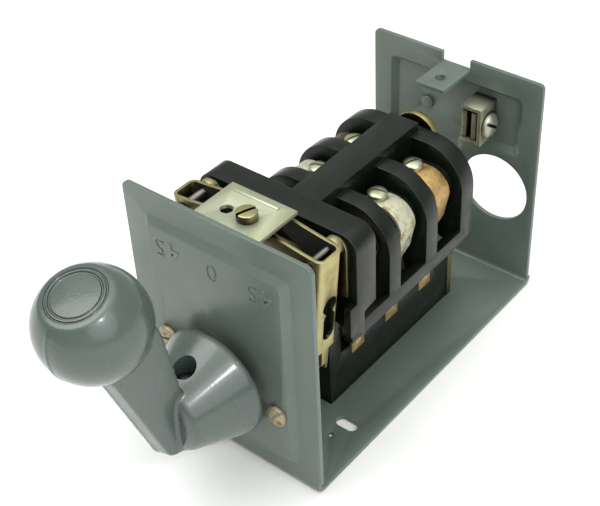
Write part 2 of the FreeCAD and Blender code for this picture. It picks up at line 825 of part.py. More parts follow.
def shaft_clip():
    clip = rod_y(clip_radius, clip_front, clip_rear, 0, axis_z)
    clip = clip.cut(rod_y(groove_radius, clip_front, clip_rear, 0, axis_z))
    return clip.cut(box(-clip_mouth, clip_mouth, clip_front, clip_rear, axis_z - clip_reach, axis_z))


def drum_core():
    core = rod_y(drum_radius, drum_front, drum_rear, 0, axis_z)
    return core.cut(rod_y(shaft_radius, drum_front, drum_rear, 0, axis_z))


def drum_segment(y, first, last):
    """One copper segment on the drum, from one angle to the other, in degrees above +X."""
    ring = rod_y(segment_outer, y - segment_half_width, y + segment_half_width, 0, axis_z)
    ring = ring.cut(rod_y(drum_radius, y - segment_half_width, y + segment_half_width, 0, axis_z))
    wedge = [(0, axis_z)]
    reach = 2 * segment_outer
    for index in range(wedge_steps + 1):
        angle = math.radians(first + (last - first) * index / wedge_steps)
        wedge.append((reach * math.cos(angle), axis_z + reach * math.sin(angle)))
    return ring.common(prism_y(wedge, y - segment_half_width, y + segment_half_width))


def drum_segments():
    segments = []
    for y in pole_y:
        for start in (segment_gap / 2, 180 + segment_gap / 2):
            segments.append(drum_segment(y, start, start + 180 - segment_gap))
    return segments


def ground_lug():
    back = frame_length + panel_depth - sheet
    outer = box(lug_left, lug_right, lug_front, back, lug_low, lug_top)
    hollow = box(lug_left, lug_right - lug_sheet, lug_front, back - lug_sheet,
                 lug_low + lug_sheet, lug_top - lug_sheet)
    body = outer.cut(hollow)
    return body.cut(rod_x(lug_screw_radius, lug_right - lug_sheet, lug_right, lug_screw_y, lug_screw_z))


def lug_jaw():
    """Two clamp plates with upright teeth on the sides that face each other."""
    back = frame_length + panel_depth - sheet - lug_sheet
    inner_left = jaw_places[0][1]
    inner_right = jaw_places[1][0]
    low = lug_low + lug_sheet
    high = lug_top - jaw_clear
    jaws = [box(x0, x1, jaw_front, back, low, high) for x0, x1 in jaw_places]
    for index in range(tooth_count):
        y = jaw_front + index * tooth_pitch + tooth_width
        groove = box(inner_left - tooth_depth, inner_right + tooth_depth, y, y + tooth_width, low, high)
        jaws = [jaw.cut(groove) for jaw in jaws]
    return jaws


def lug_screw():
    seat = V(lug_right, lug_screw_y, lug_screw_z)
    head = slotted_head(lug_head_radius, lug_head_height, lug_slot, X_AXIS, seat)
    return fuse([head, rod_x(lug_screw_radius, jaw_places[1][1], lug_right, lug_screw_y, lug_screw_z)])


def rear_rivet():
    back = frame_length + panel_depth
    inner = back - sheet
    head = rod_y(rivet_radius, inner - rivet_head, inner, rivet_x, rivet_z)
    stem = rod_y(rivet_radius / 2, inner, back, rivet_x, rivet_z)
    tail = rod_y(rivet_radius, back, back + rivet_tail, rivet_x, rivet_z)
    return fuse([head, stem, tail])


def handle():
    hub = Part.makeCone(hub_rear_radius, hub_front_radius, hub_rear - hub_front, V(0, hub_rear, axis_z),
                        V(0, -1, 0))
    arm = prism_x(arm_profile, -arm_half_width, arm_half_width)
    ball = Part.makeSphere(ball_radius, V(0, ball_y, ball_z))
    tilt = math.radians(cap_tilt)
    out = V(0, -math.sin(tilt), math.cos(tilt))
    cap = Part.makeCylinder(ball_radius, ball_radius, V(0, ball_y, ball_z) + out * cap_distance, out)
    body = fuse([hub, arm, ball]).cut(cap)
    body = body.cut(rod_y(shaft_radius, shaft_front, hub_rear, 0, axis_z))
    return body.cut(rod_z(set_screw_hole, axis_z, set_screw_hole_top, 0, set_screw_y))


def set_screw():
    screw = rod_z(set_screw_hole, axis_z, set_screw_top, 0, set_screw_y)
    screw = screw.cut(rod_y(shaft_radius, shaft_front, hub_rear, 0, axis_z))
    return screw.cut(rod_z(socket_radius, set_screw_top - socket_depth, set_screw_top, 0, set_screw_y))


def save(name, shapes):
    if not isinstance(shapes, list):
        shapes = [shapes]
    solids = [solid for shape in shapes for solid in shape.Solids]
    for solid in solids:
        if not solid.isValid():
            print("not valid:", name)
    result = solids[0] if len(solids) == 1 else Part.makeCompound(solids)
    result.translate(V(0, -slot_y, 0))
    result.exportStep(os.path.join("parts", name + ".step"))
    print(name, len(solids), round(result.Volume))


def main():
    os.makedirs("parts", exist_ok=True)
    save("mounting_frame", mounting_frame())
    save("front_screws", front_screws())
    save("front_spacers", front_spacers())
    save("front_bush", front_bush())
    save("mechanism_bracket", mechanism_bracket())
    save("cover_post_screw", cover_post_screw())
    save("pivot_plate", pivot_plate())
    save("pivot_plate_screws", pivot_plate_screws())
    save("lever_pins", lever_pins())
    save("detent_spring", detent_spring())
    save("contact_block", contact_block())
    save("drum_cradle", drum_cradle())
    save("cradle_screws", cradle_screws())
    save("end_plate", end_plate())
    save("end_plate_screw", end_plate_screw())
    save("base_rivets", base_rivets())
    save("ground_lug", ground_lug())
    save("lug_jaw", lug_jaw())
    save("lug_screw", lug_screw())
    save("rear_rivet", rear_rivet())
    for side, place in (("right", lambda shape: shape), ("left", mirrored)):
        save("contact_fingers_" + side, [place(contact_finger(y)) for y in pole_y])
        save("terminal_saddles_" + side, [place(terminal_saddle(y)) for y in terminal_poles])
        save("terminal_screws_" + side, [place(terminal_screw(y)) for y in terminal_poles])
        save("detent_lever_" + side, place(detent_lever()))
        save("roller_pin_" + side, place(roller_pin()))
        save("detent_roller_" + side, place(detent_roller()))
    save("handle", handle())
    save("handle_set_screw", set_screw())
    save("operating_shaft", operating_shaft())
    save("shaft_clip", shaft_clip())
    save("star_wheel", star_wheel())
    save("drum_core", drum_core())
    save("drum_segments", drum_segments())


main()
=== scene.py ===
import json
import math

import bmesh
import bpy
from mathutils import Matrix, Vector
from mathutils.bvhtree import BVHTree

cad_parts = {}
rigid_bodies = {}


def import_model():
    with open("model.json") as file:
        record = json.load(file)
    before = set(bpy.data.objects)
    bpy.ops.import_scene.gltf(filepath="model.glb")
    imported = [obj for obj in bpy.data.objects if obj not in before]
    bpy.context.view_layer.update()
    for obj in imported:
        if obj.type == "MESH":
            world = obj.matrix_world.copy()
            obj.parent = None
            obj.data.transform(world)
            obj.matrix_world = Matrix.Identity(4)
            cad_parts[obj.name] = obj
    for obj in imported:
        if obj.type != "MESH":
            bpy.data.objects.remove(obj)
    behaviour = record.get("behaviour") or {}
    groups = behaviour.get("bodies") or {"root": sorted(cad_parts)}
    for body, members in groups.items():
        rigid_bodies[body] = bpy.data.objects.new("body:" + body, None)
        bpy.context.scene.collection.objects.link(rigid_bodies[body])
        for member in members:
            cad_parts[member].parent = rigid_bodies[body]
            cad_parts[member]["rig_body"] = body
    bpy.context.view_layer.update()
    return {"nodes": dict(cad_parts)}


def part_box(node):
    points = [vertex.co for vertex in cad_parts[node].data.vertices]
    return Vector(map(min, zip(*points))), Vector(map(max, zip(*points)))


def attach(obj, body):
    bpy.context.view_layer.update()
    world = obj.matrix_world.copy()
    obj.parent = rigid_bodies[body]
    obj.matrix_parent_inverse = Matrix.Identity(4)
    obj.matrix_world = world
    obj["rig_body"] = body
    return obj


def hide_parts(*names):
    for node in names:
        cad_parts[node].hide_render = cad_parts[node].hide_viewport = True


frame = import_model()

MM = 0.001
NODES = frame["nodes"]
FRONT = -30.0          # outer face of the front plate along Y, in mm from the origin
SHAFT_Z = 36.5         # height of the operating shaft
WELD = 0.002           # points closer than this, in mm, are one point
UP = Vector((0, 0, 1))

# camera, at the photograph's viewing angle, in mm and degrees
CAMERA_PLACE = (216.3, -242.7, 331.8)
CAMERA_AZIMUTH = 40.573
CAMERA_ELEVATION = 39.292
CAMERA_ROLL = -3.028
CAMERA_LENS = 76.79
CAMERA_SENSOR = 36.0

# handle casting: Y in mm from the front plate's face, Z in mm above the base
HUB_BACK = -5.6
HUB_FRONT = -28.9
HUB_BACK_RADIUS = 20.5
HUB_FRONT_RADIUS = 11.9
HUB_ROUND = 2.0         # rounding of the hub's front edge
ARM_HALF = 5.0
ARM_DRAFT = 1.3         # how far the long edges stand back from the parting line
BALL_RADIUS = 17.4
BALL_Y = -50.0
BALL_Z = 94.0
BALL_CENTRE = Vector((0, FRONT + BALL_Y, BALL_Z))
CAP_TILT = 16.0         # how far the cap leans forward, in degrees
CAP_RADIUS = 10.9
CAP_CROWN = 14.3        # height of the cap's middle above the ball's centre
CAP_RINGS = (9.0, 7.7)
CAP_RING_DEPTH = 0.46
SET_SCREW_Y = -18.6
SET_SCREW_HOLE = 4.0    # radius of the hole that the set screw sits in
SET_SCREW_FLOOR = 4.0   # how far below the shaft's axis that hole ends
PARTING_HALF = 0.42     # half width of the mould's parting line
PARTING_HEIGHT = 0.34
PARTING_LOWEST = -20.0  # from the shaft's axis
PARTING_REAR = -27.0    # from the front plate's face
CAST_VOXEL = 0.5        # finest detail of the casting's mesh

# stamped position marks on the raised front panel
PANEL_DEPTH = 2.2
NUMERAL_X = 19.0
NUMERAL_Z = 80.0
NUMERAL_SIZE = 9.4
NUMERAL_SPACING = 1.15
NUMERAL_DEPTH = 0.35
NUMERAL_WEIGHT = 0.12   # how much the strokes are thickened

# detent spring
SPRING_WIRE = 0.45      # radius of the wire
SPRING_HALF = 20.0      # half length of the close-wound coil
SPRING_TURNS = 26
SPRING_STEPS = 20       # points in a turn
HOOK_STEPS = 14         # points in a hook's half turn

# studio: lights in metres, the floor in mm
SKY_STRENGTH = 2.55
LIGHT_TARGET = (0.0, 0.0, 0.05)
FLOOR_HALF = 2500
FLOOR_TOP = -0.15
FLOOR_UNDERSIDE = -20


# ---------------------------------------------------------------- mesh helpers

def add_object(name, mesh):
    piece = bpy.data.objects.new(name, mesh)
    bpy.context.scene.collection.objects.link(piece)
    return piece


def evaluated_mesh(piece):
    depsgraph = bpy.context.evaluated_depsgraph_get()
    return bpy.data.meshes.new_from_object(piece.evaluated_get(depsgraph))


def curve_mesh(name, curve):
    """The mesh of a bevelled curve or a text."""
    holder = add_object(name, curve)
    mesh = evaluated_mesh(holder)
    bpy.data.objects.remove(holder)
    return mesh


def finished_mesh(bm, name):
    mesh = bpy.data.meshes.new(name)
    bm.to_mesh(mesh)
    bm.free()
    return mesh


def standing(axis):
    """The turn that stands a shape drawn along Z along another axis."""
    return UP.rotation_difference(Vector(axis)).to_matrix().to_4x4()


def placed(bm, place, axis):
    """Turns a shape drawn along Z to its axis and moves it to its place, given in mm."""
    matrix = Matrix.Scale(MM, 4) @ Matrix.Translation(place) @ standing(axis)
    bmesh.ops.transform(bm, verts=bm.verts, matrix=matrix)


def applied(piece):
    """The piece with its modifiers worked into its mesh."""
    mesh = evaluated_mesh(piece)
    piece.modifiers.clear()
    piece.data = mesh
    return piece


def smooth_shading(piece, angle=35.0):
    mesh = piece.data
    for polygon in mesh.polygons:
        polygon.use_smooth = True
    mesh.set_sharp_from_angle(angle=math.radians(angle))


def bevelled(piece, width, segments=2):
    bevel = piece.modifiers.new("bevel", "BEVEL")
    bevel.width = width * MM
    bevel.segments = segments
    bevel.limit_method = "ANGLE"
    bevel.angle_limit = math.radians(32)
    bevel.miter_outer = "MITER_ARC"
    bevel.use_clamp_overlap = True
    return applied(piece)


def clean_copy(node, name):
    """A welded copy of a CAD node's mesh, with its flat faces joined up."""
    mesh = NODES[node].data.copy()
    if "custom_normal" in mesh.attributes:
        mesh.attributes.remove(mesh.attributes["custom_normal"])
    bm = bmesh.new()
    bm.from_mesh(mesh)
    bmesh.ops.remove_doubles(bm, verts=bm.verts, dist=WELD * MM)
    bmesh.ops.dissolve_limit(bm, angle_limit=math.radians(0.5), verts=bm.verts, edges=bm.edges)
    bm.to_mesh(mesh)
    bm.free()
    return add_object(name, mesh)


def dress(piece, material, slot, body, *nodes):
    """Gives a piece its material and its body, and hides the CAD nodes that it stands for."""
    piece.data.materials.clear()
    piece.data.materials.append(material)
    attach(piece, body)
    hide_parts(*nodes)
    return piece


def refined(node, material, slot, width, segments=2, angle=35.0):
    """Stands for a CAD node: the same solid with broken edges."""
    piece = clean_copy(node, node + "_finished")
    bevelled(piece, width, segments)
    smooth_shading(piece, angle)
    return dress(piece, material, slot, NODES[node]["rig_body"], node)


def cut(piece, tool):
    """Takes one closed mesh out of another."""
    boolean = piece.modifiers.new("cut", "BOOLEAN")
    boolean.operation = "DIFFERENCE"
    boolean.solver = "EXACT"
    boolean.object = tool
    applied(piece)
    bpy.data.objects.remove(tool)
    return piece


def lathe(profile, place, axis, segments=48):
    """Closed mesh turned about an axis.

    The profile is (radius, height) pairs in mm, with the first and last on the axis.
    """
    bm = bmesh.new()
    rings = []
    for radius, height in profile[1:-1]:
        ring = []
        for step in range(segments):
            angle = 2 * math.pi * step / segments
            ring.append(bm.verts.new((radius * math.cos(angle), radius * math.sin(angle), height)))
        rings.append(ring)
    first = bm.verts.new((0, 0, profile[0][1]))
    last = bm.verts.new((0, 0, profile[-1][1]))
    for step in range(segments):
        after = (step + 1) % segments
        bm.faces.new((first, rings[0][step], rings[0][after]))
        bm.faces.new((last, rings[-1][after], rings[-1][step]))
        for low, high in zip(rings, rings[1:]):
            bm.faces.new((low[step], high[step], high[after], low[after]))
    bmesh.ops.recalc_face_normals(bm, faces=bm.faces)
    placed(bm, place, axis)
    return finished_mesh(bm, "lathe")


def block(low, high, name="block"):
    """Box between two corners in mm, used to cut slots and for the floor."""
    bm = bmesh.new()
    bmesh.ops.create_cube(bm, size=1.0)
    low = Vector(low)
    high = Vector(high)
    size = high - low
    for vert in bm.verts:
        vert.co = Vector([(low[i] + (vert.co[i] + 0.5) * size[i]) * MM for i in range(3)])
    return finished_mesh(bm, name)


def joined(name, meshes):
    """One object of several meshes."""
    bm = bmesh.new()
    for mesh in meshes:
        bm.from_mesh(mesh)
    return add_object(name, finished_mesh(bm, name))


def islands(node):
    """Lowest and highest corner, in mm, of each separate solid of a CAD node, in order of X then Y."""
    bm = bmesh.new()
    bm.from_mesh(NODES[node].data)
    bmesh.ops.remove_doubles(bm, verts=bm.verts, dist=WELD * MM)
    left = set(bm.verts)
    boxes = []
    while left:
        stack = [left.pop()]
        points = []
        while stack:
            vert = stack.pop()
            points.append(vert.co / MM)
            for edge in vert.link_edges:
                other = edge.other_vert(vert)
                if other in left:
                    left.remove(other)
                    stack.append(other)
        low = Vector([min(p[i] for p in points) for i in range(3)])
        high = Vector([max(p[i] for p in points) for i in range(3)])
        boxes.append((low, high))
    bm.free()
    return sorted(boxes, key=lambda b: (round(b[0].x), round(b[0].y)))


# ---------------------------------------------------------------- material helpers

def new_material(name, metallic, roughness):
    material = bpy.data.materials.new(name)
    material.use_nodes = True
    tree = material.node_tree
    shader = tree.nodes["Principled BSDF"]
    shader.inputs["Metallic"].default_value = metallic
    shader.inputs["Roughness"].default_value = roughness
    return material, tree, shader


def coordinates(tree, stretch=(1, 1, 1)):
    place = tree.nodes.new("ShaderNodeTexCoord")
    mapping = tree.nodes.new("ShaderNodeMapping")
    mapping.inputs["Scale"].default_value = stretch
    tree.links.new(place.outputs["Object"], mapping.inputs["Vector"])
    return mapping.outputs["Vector"]


def noise(tree, scale, detail=4.0, rough=0.55, stretch=(1, 1, 1)):
    node = tree.nodes.new("ShaderNodeTexNoise")
    node.inputs["Scale"].default_value = scale
    node.inputs["Detail"].default_value = detail
    node.inputs["Roughness"].default_value = rough
    tree.links.new(coordinates(tree, stretch), node.inputs["Vector"])
    return node.outputs["Fac"]


def ramp(tree, source, stops):
    node = tree.nodes.new("ShaderNodeValToRGB")
    elements = node.color_ramp.elements
    while len(elements) < len(stops):
        elements.new(0.5)
    for element, (position, colour) in zip(elements, stops):
        element.position = position
        element.color = (*colour, 1.0)
    tree.links.new(source, node.inputs["Fac"])
    return node.outputs["Color"]


def grey(value):
    return (value, value, value)


def feed(tree, socket, value):
    """Links a socket to another node's output, or sets it to a colour or number."""
    if hasattr(value, "is_linked"):
        tree.links.new(value, socket)
    elif isinstance(value, tuple):
        socket.default_value = (*value, 1.0)
    else:
        socket.default_value = value


def mixed(tree, factor, first, second, blend="MIX"):
    node = tree.nodes.new("ShaderNodeMix")
    node.data_type = "RGBA"
    node.blend_type = blend
    for name, value in (("Factor", factor), ("A", first), ("B", second)):
        feed(tree, node.inputs[name], value)
    return node.outputs["Result"]


def math_node(tree, operation, *values):
    node = tree.nodes.new("ShaderNodeMath")
    node.operation = operation
    for socket, value in zip(node.inputs, values):
        feed(tree, socket, value)
    return node.outputs["Value"]


def bump(tree, shader, height, distance, strength=1.0):
    node = tree.nodes.new("ShaderNodeBump")
    node.inputs["Strength"].default_value = strength
    node.inputs["Distance"].default_value = distance * MM
    tree.links.new(height, node.inputs["Height"])
    tree.links.new(node.outputs["Normal"], shader.inputs["Normal"])


def edge_mask(tree, radius, sharpness=6.0):
    """1 on convex and concave edges, 0 on open surface."""
    rounded = tree.nodes.new("ShaderNodeBevel")
    rounded.samples = 4
    rounded.inputs["Radius"].default_value = radius * MM
    geometry = tree.nodes.new("ShaderNodeNewGeometry")
    dot = tree.nodes.new("ShaderNodeVectorMath")
    dot.operation = "DOT_PRODUCT"
    tree.links.new(rounded.outputs["Normal"], dot.inputs[0])
    tree.links.new(geometry.outputs["Normal"], dot.inputs[1])
    away = math_node(tree, "SUBTRACT", 1.0, dot.outputs["Value"])
    return math_node(tree, "MULTIPLY", away, sharpness)


def recess_shade(tree, reach):
    """White on open surface, nearly black deep inside channels and corners."""
    node = tree.nodes.new("ShaderNodeAmbientOcclusion")
    node.samples = 6
    node.inputs["Distance"].default_value = reach * MM
    return ramp(tree, node.outputs["AO"], [(0.42, grey(0.03)), (0.80, grey(1.0))])


# ---------------------------------------------------------------- materials

def paint_material():
    """Grey enamel on sheet: grime, chipped edges and a slight orange peel."""
    material, tree, shader = new_material("grey_enamel", 0.0, 0.38)
    tone = ramp(tree, noise(tree, 30, 3), [(0.3, (0.081, 0.109, 0.093)), (0.7, (0.101, 0.132, 0.114))])
    grime = ramp(tree, noise(tree, 160, 6, 0.7), [(0.60, grey(0.0)), (0.78, grey(0.30))])
    tone = mixed(tree, grime, tone, (0.045, 0.053, 0.047))
    worn = math_node(tree, "MULTIPLY", edge_mask(tree, 0.5, 7.0), noise(tree, 210, 5, 0.75))
    chips = ramp(tree, worn, [(0.42, grey(0.0)), (0.58, grey(0.8))])
    tone = mixed(tree, chips, tone, (0.20, 0.235, 0.215))
    tree.links.new(tone, shader.inputs["Base Color"])
    gloss = ramp(tree, noise(tree, 55, 4), [(0.3, grey(0.27)), (0.75, grey(0.44))])
    tree.links.new(gloss, shader.inputs["Roughness"])
    shader.inputs["Coat Weight"].default_value = 0.15
    shader.inputs["Coat Roughness"].default_value = 0.2
    peel = mixed(tree, 0.35, noise(tree, 700, 2, 0.4), noise(tree, 2600, 2, 0.5))
    bump(tree, shader, peel, 0.05)
    return material


def cast_material():
    """Thick enamel over a casting: softer gloss, pits, rubbed spots, and painted shade in its grooves and
    corners.
    """
    material, tree, shader = new_material("cast_enamel", 0.0, 0.34)
    tone = ramp(tree, noise(tree, 45, 4), [(0.3, (0.049, 0.069, 0.061)), (0.7, (0.064, 0.087, 0.078))])
    scuffs = ramp(tree, noise(tree, 120, 9, 0.8, (1, 1, 2.2)), [(0.615, grey(0.0)), (0.68, grey(0.55))])
    tone = mixed(tree, scuffs, tone, (0.034, 0.040, 0.036))
    # painted shade: occlusion darkens the enamel in the cap's grooves, the set-screw hole and inner corners
    tone = mixed(tree, 1.0, tone, recess_shade(tree, 5.0), "MULTIPLY")
    tree.links.new(tone, shader.inputs["Base Color"])
    gloss = ramp(tree, noise(tree, 90, 5), [(0.3, grey(0.20)), (0.75, grey(0.40))])
    tree.links.new(gloss, shader.inputs["Roughness"])
    shader.inputs["Coat Weight"].default_value = 0.45
    shader.inputs["Coat Roughness"].default_value = 0.12
    skin = mixed(tree, 0.5, noise(tree, 260, 3, 0.5), noise(tree, 1100, 3, 0.5))
    bump(tree, shader, skin, 0.12)
    return material


def phenolic_material():
    """Black moulded phenolic: dust, rubbed edges, and painted shade that dims the sheen deep in the bays.
    """
    material, tree, shader = new_material("black_phenolic", 0.0, 0.36)
    blacks = [(0.3, (0.0018, 0.0034, 0.0022)), (0.75, (0.0040, 0.0070, 0.0048))]
    tone = ramp(tree, noise(tree, 60, 5), blacks)
    dust = ramp(tree, noise(tree, 240, 8, 0.8), [(0.56, grey(0.0)), (0.80, grey(0.16))])
    tone = mixed(tree, dust, tone, (0.040, 0.037, 0.028))
    rubbed = math_node(tree, "MULTIPLY", edge_mask(tree, 0.6, 5.0), noise(tree, 120, 5, 0.7))
    paler = ramp(tree, rubbed, [(0.25, grey(0.0)), (0.7, grey(0.5))])
    tone = mixed(tree, paler, tone, (0.030, 0.033, 0.029))
    # painted shade: occlusion takes the specular reflection out of recesses and bays
    sheen = math_node(tree, "MULTIPLY", recess_shade(tree, 10.0), 0.34)
    tree.links.new(sheen, shader.inputs["Specular IOR Level"])
    tree.links.new(tone, shader.inputs["Base Color"])
    gloss = ramp(tree, noise(tree, 140, 6), [(0.3, grey(0.22)), (0.8, grey(0.44))])
    tree.links.new(gloss, shader.inputs["Roughness"])
    bump(tree, shader, mixed(tree, 0.4, noise(tree, 420, 4), noise(tree, 1900, 3)), 0.05)
    return material


def plated_material(name, stops, dull, roughness, stretch=(1, 1, 1), scale=70, scratches=0.03,
                    metallic=1.0, recess=0.0):
    """Plated steel: blotchy film colour, fine drawn lines, dull stains, and painted shade darkening the
    recesses.
    """
    material, tree, shader = new_material(name, metallic, roughness)
    film = ramp(tree, noise(tree, scale, 5, 0.6), stops)
    stains = ramp(tree, noise(tree, 260, 7, 0.75), [(0.58, grey(0.0)), (0.76, grey(0.7))])
    film = mixed(tree, stains, film, dull)
    crust = math_node(tree, "MULTIPLY", edge_mask(tree, 0.3, 6.0), noise(tree, 330, 5, 0.7))
    film = mixed(tree, ramp(tree, crust, [(0.35, grey(0.0)), (0.8, grey(0.6))]), film, dull)
    # painted shade: occlusion darkens the film colour deep in recesses and channels
    if recess:
        film = mixed(tree, 1.0, film, recess_shade(tree, recess), "MULTIPLY")
    tree.links.new(film, shader.inputs["Base Color"])
    lines = noise(tree, 900, 3, 0.6, stretch)
    rough = math_node(tree, "MULTIPLY_ADD", lines, 0.22, roughness - 0.08)
    tree.links.new(rough, shader.inputs["Roughness"])
    bump(tree, shader, lines, scratches)
    return material


def yellow_zinc_material():
    stops = [(0.30, (0.30, 0.25, 0.09)), (0.45, (0.45, 0.38, 0.18)), (0.58, (0.37, 0.35, 0.19)),
             (0.70, (0.42, 0.30, 0.15))]
    # recess=12.0 paints shade into the channels of the levers and plates
    return plated_material("yellow_zinc_plate", stops, dull=(0.15, 0.12, 0.06), roughness=0.34,
                           stretch=(1, 1, 0.12), recess=12.0)


def clear_zinc_material():
    stops = [(0.30, (0.33, 0.35, 0.26)), (0.5, (0.43, 0.45, 0.34)), (0.7, (0.38, 0.39, 0.25))]
    return plated_material("clear_zinc_plate", stops, dull=(0.30, 0.27, 0.17), roughness=0.42,
                           stretch=(1, 0.1, 1), scale=60, metallic=0.7)


def screw_zinc_material():
    stops = [(0.32, (0.30, 0.30, 0.21)), (0.5, (0.48, 0.49, 0.37)), (0.68, (0.40, 0.39, 0.25))]
    return plated_material("screw_zinc_plate", stops, dull=(0.16, 0.13, 0.08), roughness=0.36, scale=160)


def steel_material():
    stops = [(0.3, (0.15, 0.145, 0.125)), (0.6, (0.25, 0.245, 0.22))]
    # recess=7.0 paints shade on the pins and rollers where they sit inside the levers
    return plated_material("bright_steel", stops, dull=(0.10, 0.08, 0.06), roughness=0.30,
                           stretch=(0.15, 1, 1), recess=7.0)


def tin_material():
    stops = [(0.36, (0.25, 0.19, 0.10)), (0.48, (0.48, 0.46, 0.34)), (0.66, (0.58, 0.57, 0.44))]
    return plated_material("tin_plate", stops, dull=(0.17, 0.11, 0.06), roughness=0.46,
                           scale=260, scratches=0.24, metallic=0.6)


def lug_material():
    stops = [(0.3, (0.25, 0.25, 0.17)), (0.5, (0.42, 0.42, 0.33)), (0.7, (0.33, 0.33, 0.23))]
    # recess=6.0 paints shade in the lug's jaw and corners
    return plated_material("dull_tin_plate", stops, dull=(0.16, 0.13, 0.08), roughness=0.38,
                           scale=140, metallic=0.85, recess=6.0)


# Near-black copy of the bronze for the left rear strap: painted shade.
def shaded_bronze_material():
    stops = [(0.34, (0.035, 0.026, 0.016)), (0.6, (0.085, 0.062, 0.036))]
    return plated_material("bronze_painted_shade", stops, dull=(0.02, 0.015, 0.01), roughness=0.5,
                           scale=150, scratches=0.06, metallic=0.6)


def worn_screw_material():
    """Steel screw with rubbed paint and rust."""
    stops = [(0.36, (0.15, 0.12, 0.07)), (0.48, (0.38, 0.32, 0.20)), (0.62, (0.25, 0.26, 0.19))]
    return plated_material("worn_screw", stops, dull=(0.10, 0.065, 0.045), roughness=0.48,
                           scale=420, scratches=0.10, metallic=0.6)


# Near-black copy of a plated finish for the inside of a lever's channel: painted shade.
def channel_shade_material():
    stops = [(0.3, (0.006, 0.006, 0.005)), (0.7, (0.016, 0.015, 0.011))]
    return plated_material("painted_channel_shade", stops, dull=(0.03, 0.025, 0.015), roughness=0.5,
                           scale=90, scratches=0.05, metallic=0.0)


def bronze_material():
    stops = [(0.34, (0.26, 0.15, 0.05)), (0.5, (0.48, 0.33, 0.13)), (0.68, (0.40, 0.23, 0.09))]
    return plated_material("terminal_bronze", stops, dull=(0.14, 0.08, 0.04), roughness=0.42,
                           scale=170, scratches=0.16, metallic=0.7)


def brass_material():
    stops = [(0.3, (0.28, 0.18, 0.07)), (0.6, (0.50, 0.36, 0.16))]
    return plated_material("spring_brass", stops, dull=(0.16, 0.09, 0.04), roughness=0.36,
                           stretch=(1, 1, 0.15), scale=150, metallic=0.8)


def copper_material():
    stops = [(0.3, (0.46, 0.24, 0.14)), (0.6, (0.70, 0.40, 0.25))]
    return plated_material("contact_copper", stops, dull=(0.16, 0.09, 0.06), roughness=0.34,
                           stretch=(0.2, 1, 0.2), scale=90)


def socket_material():
    stops = [(0.3, (0.05, 0.05, 0.05)), (0.6, (0.10, 0.10, 0.095))]
    return plated_material("black_oxide_steel", stops, dull=(0.03, 0.025, 0.02), roughness=0.42)


# ---------------------------------------------------------------- pieces

def screw_profile(radius, height, dome, shank_radius, shank_length):
    """Half outline of a screw, from the crown down to the end of the shank."""
    points = [(0, height)]
    steps = 7
    rim = 0.18
    tip = 0.4
    crown = height * dome
    for step in range(1, steps + 1):
        turn = math.pi / 2 * step / steps
        points.append((radius * math.sin(turn), height - crown + crown * math.cos(turn)))
    points += [(radius, rim), (radius - rim, 0.0), (shank_radius, 0.0)]
    points += [(shank_radius, tip - shank_length), (shank_radius - tip, -shank_length), (0, -shank_length)]
    return points


def slotted_screw(seat, axis, radius, height, shank_radius, shank_length, slot, turn, dome=0.55):
    """One slotted screw. The seat is where its head meets the sheet, in mm."""
    profile = screw_profile(radius, height, dome, shank_radius, shank_length)
    screw = add_object("screw", lathe(profile, seat, axis))
    reach = radius + 1.0
    tool = add_object("slot", block((-reach, -slot / 2, height * 0.5), (reach, slot / 2, height + 1)))
    spin = Matrix.Rotation(math.radians(turn), 4, "Z")
    tool.data.transform(Matrix.Translation(Vector(seat) * MM) @ standing(axis) @ spin)
    cut(screw, tool)
    bevelled(screw, 0.09, 1)
    mesh = screw.data
    bpy.data.objects.remove(screw)
    return mesh


def screw_group(node, name, axis, height, slot, turns, material, slot_name, dome=0.55, shank=1.75):
    """Stands for a CAD node of slotted screws that all point along one axis."""
    axis = Vector(axis)
    index = max(range(3), key=lambda i: abs(axis[i]))
    across = 1 if index == 0 else 0
    sign = 1 if axis[index] > 0 else -1
    inset = 0.02
    meshes = []
    for number, (low, high) in enumerate(islands(node)):
        centre = (low + high) / 2
        radius = (high[across] - low[across]) / 2 - inset
        top = high[index] if sign > 0 else low[index]
        centre[index] = top - sign * height
        length = high[index] - low[index] - height
        turn = turns[number % len(turns)]
        meshes.append(slotted_screw(centre, axis, radius, height - inset, shank, length, slot, turn, dome))
    piece = joined(name, meshes)
    smooth_shading(piece, 40)
    return dress(piece, material, slot_name, NODES[node]["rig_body"], node)


def arm_mesh():
    """Side outline of the blade arm, drawn out across X, with a ridge along its front edge at X = 0."""
    front = [(-52.9, 79), (-51.3, 72.0), (-35.6, 29.3), (-34.7, 27.8), (-33.4, 26.9)]
    rest = [(-28, 25.4), (-12, 24.2), (-12, 37), (-24.7, 47), (-26.1, 56), (-27.9, 67), (-30.1, 79),
            (-33.0, 86), (BALL_Y, BALL_Z), (-52.0, 84)]
    bm = bmesh.new()
    sides = []
    for x, draft in ((-ARM_HALF, ARM_DRAFT), (0.0, 0.0), (ARM_HALF, ARM_DRAFT)):
        outline = [(y + draft, z) for y, z in front] + rest
        sides.append([bm.verts.new((x * MM, (FRONT + y) * MM, z * MM)) for y, z in outline])
    bm.faces.new(sides[0])
    bm.faces.new(list(reversed(sides[2])))
    count = len(outline)
    for low, high in zip(sides, sides[1:]):
        for step in range(count):
            after = (step + 1) % count
            bm.faces.new((low[step], high[step], high[after], low[after]))
    bmesh.ops.recalc_face_normals(bm, faces=bm.faces)
    return finished_mesh(bm, "arm")


def cap_height(radius):
    """Height of the shallow cap above the ball's centre."""
    rim = math.sqrt(BALL_RADIUS ** 2 - CAP_RADIUS ** 2)
    return CAP_CROWN - (CAP_CROWN - rim) * (radius / CAP_RADIUS) ** 2


